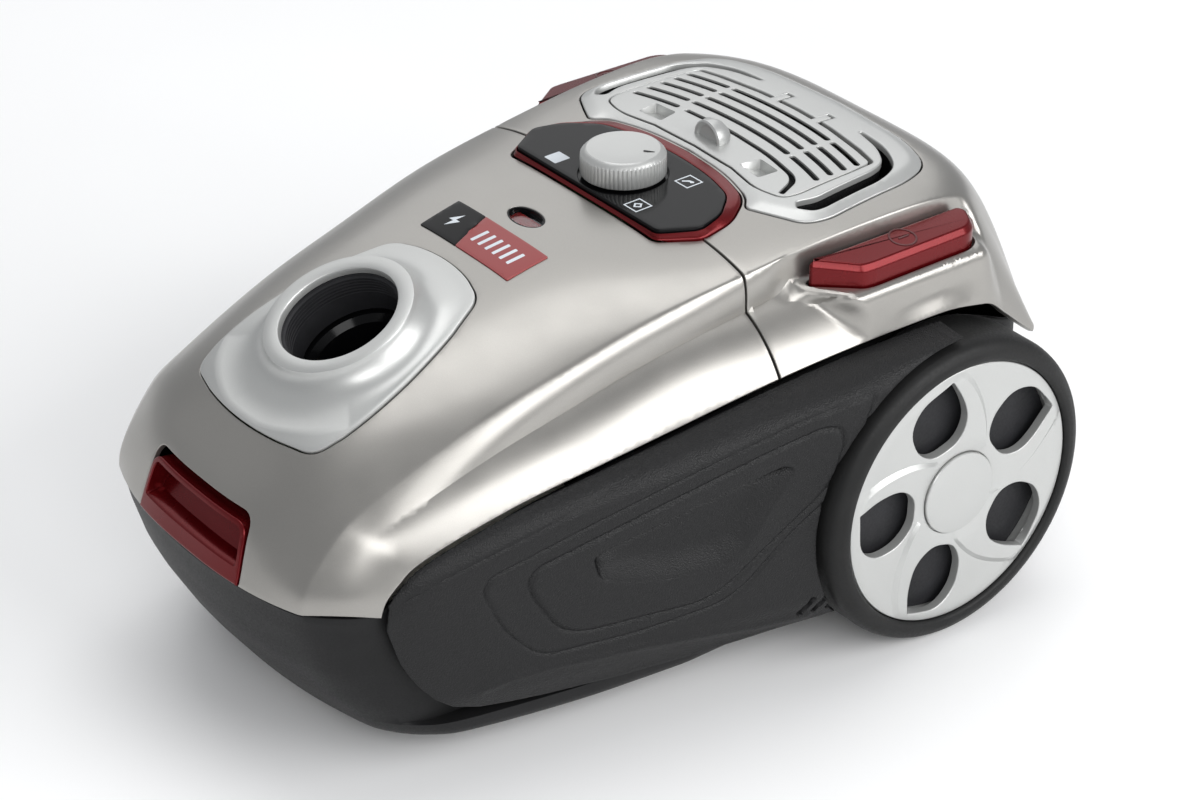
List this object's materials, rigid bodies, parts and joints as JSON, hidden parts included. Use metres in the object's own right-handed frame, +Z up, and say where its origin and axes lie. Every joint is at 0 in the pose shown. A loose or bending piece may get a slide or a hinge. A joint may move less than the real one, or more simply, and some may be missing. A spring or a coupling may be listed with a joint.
{
  "type": "canister vacuum cleaner",
  "caption": "Canister vacuum cleaner with a hinged lid over a dust bag, a tilted hose inlet, a power knob, foot pedals, an exhaust grille, large rear wheels and a swivel caster.",
  "frame": {"origin": "on the floor plane, at the centre of the bounding box in plan", "axes": "+Z up, nose and hose inlet towards -Y, rear towards +Y, X across between the rear wheels"},
  "size_m": [0.3, 0.4117, 0.2141],
  "materials": {
    "dark_plastic": "smooth moulded plastic, satin",
    "textured_panel": "fine spark-eroded texture, semi-matte",
    "taupe_paint": "warm silver-taupe metallic lacquer over plastic",
    "silver_paint": "light silver metallic lacquer over plastic",
    "wine_paint": "deep red metallic lacquer over plastic",
    "indicator_red": "plain red plastic",
    "black_gloss": "piano black",
    "rubber": "soft black rubber",
    "tyre_rubber": "rubber-like tyre band",
    "steel": "plain steel",
    "motor_metal": "cast and pressed light metal",
    "fan_plastic": "moulded fan",
    "reel_plastic": "moulded drum",
    "board_green": "circuit board",
    "filter_paper": "pleated filter paper",
    "filter_foam": "open foam",
    "holder_green": "moulded bag holder",
    "card": "stiff card plate",
    "bag_fleece": "non-woven fleece",
    "clear_window": "clear window"
  },
  "bodies": {
    "chassis": {"base_tub": "dark_plastic", "side_panel_right": "textured_panel", "side_panel_left": "textured_panel", "rear_cover": "taupe_paint", "exhaust_frame": "silver_paint", "filter_tray": "dark_plastic", "exhaust_filter": "filter_paper", "control_frame": "wine_paint", "control_panel": "black_gloss", "potentiometer": "steel", "circuit_board": "board_green", "hinge_pin": "steel", "power_switch": "black_gloss", "reel_brake_arm": "steel", "partition_grille": "dark_plastic", "motor_filter": "filter_foam", "motor_can": "motor_metal", "motor_mount_front": "rubber", "motor_mount_rear": "rubber", "reel_bracket": "steel", "cord_gland": "dark_plastic", "bag_holder": "holder_green", "bag_collar": "card", "dust_bag": "bag_fleece", "axle_right": "steel", "axle_left": "steel", "caster_socket": "steel", "power_spring": "steel", "rewind_spring": "steel"},
    "lid": {"lid_shell": "taupe_paint", "lid_hinge_arms": "dark_plastic", "lid_gasket": "rubber", "inlet_trim": "silver_paint", "inlet_seal": "rubber", "inlet_tube": "black_gloss", "indicator_window": "clear_window", "badge_plate": "black_gloss", "latch_pin": "steel", "latch_spring": "steel"},
    "latch": {"lid_latch": "wine_paint"},
    "indicator": {"indicator_flap": "indicator_red"},
    "power_knob": {"knob": "silver_paint"},
    "power_button": {"power_pedal": "wine_paint"},
    "rewind_button": {"rewind_pedal": "wine_paint"},
    "exhaust_door": {"exhaust_cover": "silver_paint"},
    "exhaust_tab": {"exhaust_latch_tab": "silver_paint"},
    "motor_rotor": {"motor_fan": "fan_plastic"},
    "cord_drum": {"cord_reel": "reel_plastic"},
    "wheel_right": {"tyre_right": "tyre_rubber", "rim_right": "silver_paint", "hub_cap_right": "silver_paint", "wheel_disc_right": "rubber"},
    "wheel_left": {"tyre_left": "tyre_rubber", "rim_left": "silver_paint", "hub_cap_left": "silver_paint", "wheel_disc_left": "rubber"},
    "caster_yoke": {"caster_fork": "dark_plastic", "caster_pin": "steel"},
    "caster_roller": {"caster_wheel": "rubber"}
  },
  "joints": [
    {"name": "lid_hinge", "type": "hinge", "parent": "chassis", "child": "lid", "pos_m": [0, 0.014, 0.195], "axis": [-1, 0, 0], "range_deg": [0, 44]},
    {"name": "latch_pull", "type": "hinge", "parent": "lid", "child": "latch", "pos_m": [0, -0.1865, 0.121], "axis": [-1, 0, 0], "range_deg": [0, 8], "stiffness_Nm_per_rad": 0.8, "springref_deg": -11.46},
    {"name": "indicator_slide", "type": "slide", "parent": "lid", "child": "indicator", "axis": [1, 0, 0], "range_m": [0, 0.008], "stiffness_N_per_m": 20, "springref_m": -0.002},
    {"name": "power_knob_turn", "type": "hinge", "parent": "chassis", "child": "power_knob", "pos_m": [0, 0.0316, 0.205], "axis": [0, 0, 1], "range_deg": [-135, 135]},
    {"name": "power_pedal_press", "type": "slide", "parent": "chassis", "child": "power_button", "axis": [0, 0, -1], "range_m": [0, 0.004], "stiffness_N_per_m": 1500, "springref_m": -0.002, "deforming": ["power_spring"]},
    {"name": "rewind_pedal_press", "type": "slide", "parent": "chassis", "child": "rewind_button", "axis": [0, 0, -1], "range_m": [0, 0.004], "stiffness_N_per_m": 1500, "springref_m": -0.002, "deforming": ["rewind_spring"]},
    {"name": "exhaust_cover_hinge", "type": "hinge", "parent": "chassis", "child": "exhaust_door", "pos_m": [0, 0.1395, 0.2015], "axis": [-1, 0, 0], "range_deg": [0, 70]},
    {"name": "exhaust_tab_slide", "type": "slide", "parent": "exhaust_door", "child": "exhaust_tab", "axis": [0, 1, 0], "range_m": [0, 0.0018], "stiffness_N_per_m": 300, "springref_m": -0.003},
    {"name": "motor_spin", "type": "hinge", "parent": "chassis", "child": "motor_rotor", "pos_m": [0.038, 0.062, 0.086], "axis": [0, 1, 0], "continuous": true},
    {"name": "cord_reel_spin", "type": "hinge", "parent": "chassis", "child": "cord_drum", "pos_m": [-0.058, 0.112, 0.09], "axis": [1, 0, 0], "continuous": true},
    {"name": "wheel_right_spin", "type": "hinge", "parent": "chassis", "child": "wheel_right", "pos_m": [0.13, 0.1097, 0.0755], "axis": [1, 0, 0], "continuous": true},
    {"name": "wheel_left_spin", "type": "hinge", "parent": "chassis", "child": "wheel_left", "pos_m": [-0.13, 0.1097, 0.0755], "axis": [1, 0, 0], "continuous": true},
    {"name": "caster_swivel", "type": "hinge", "parent": "chassis", "child": "caster_yoke", "pos_m": [0, -0.124, 0.036], "axis": [0, 0, 1], "continuous": true},
    {"name": "caster_roll", "type": "hinge", "parent": "caster_yoke", "child": "caster_roller", "pos_m": [0, -0.111, 0.014], "axis": [1, 0, 0], "continuous": true}
  ]
}
